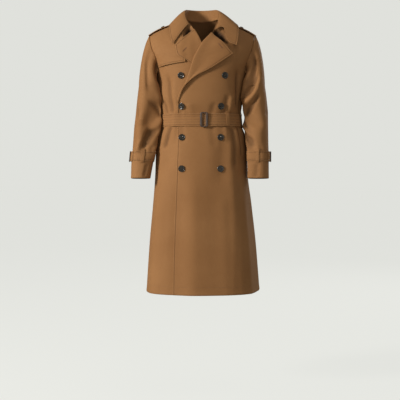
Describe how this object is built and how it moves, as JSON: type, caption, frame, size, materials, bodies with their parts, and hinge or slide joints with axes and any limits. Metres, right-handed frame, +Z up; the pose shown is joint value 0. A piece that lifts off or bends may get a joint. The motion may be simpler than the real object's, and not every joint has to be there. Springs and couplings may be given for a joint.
{
  "type": "trench coat",
  "caption": "Double-breasted trench coat in brown gabardine, worn and belted, with lapels, storm flap, shoulder straps and buckled sleeve straps; hollow inside.",
  "frame": {"origin": "midway between the shoulders, at the height where the neck meets them and at mid-depth, where the wearer's shoulders carry the coat", "axes": "+Z up, the front faces -Y, the wearer's left is +X"},
  "size_m": [0.5805, 0.3608, 1.1678],
  "materials": {
    "cloth": "brown cotton gabardine, close steep twill, soft matt with a slight sheen",
    "buckle_leather": "dark brown smooth leather over a frame, semi-gloss",
    "button_horn": "dark grey-brown mottled horn resin, polished"
  },
  "bodies": {
    "root": {"back_body": "cloth", "front_right": "cloth", "front_left": "cloth", "lapel_right": "cloth", "lapel_left": "cloth", "storm_flap": "cloth", "collar_fall": "cloth", "collar_stand": "cloth", "sleeve_right": "cloth", "sleeve_left": "cloth", "sleeve_strap_right": "cloth", "sleeve_strap_left": "cloth", "strap_loop_front_right": "cloth", "strap_loop_back_right": "cloth", "strap_loop_front_left": "cloth", "strap_loop_back_left": "cloth", "sleeve_buckle_right": "buckle_leather", "sleeve_buckle_left": "buckle_leather", "belt": "cloth", "belt_end": "cloth", "belt_buckle": "buckle_leather", "belt_keeper": "cloth", "belt_loop_right": "cloth", "belt_loop_left": "cloth", "epaulette_right": "cloth", "epaulette_left": "cloth", "epaulette_button_right": "button_horn", "epaulette_button_left": "button_horn", "button_1_right": "button_horn", "button_1_left": "button_horn", "button_2_right": "button_horn", "button_2_left": "button_horn", "button_3_right": "button_horn", "button_3_left": "button_horn", "button_4_right": "button_horn", "button_4_left": "button_horn"}
  },
  "joints": []
}
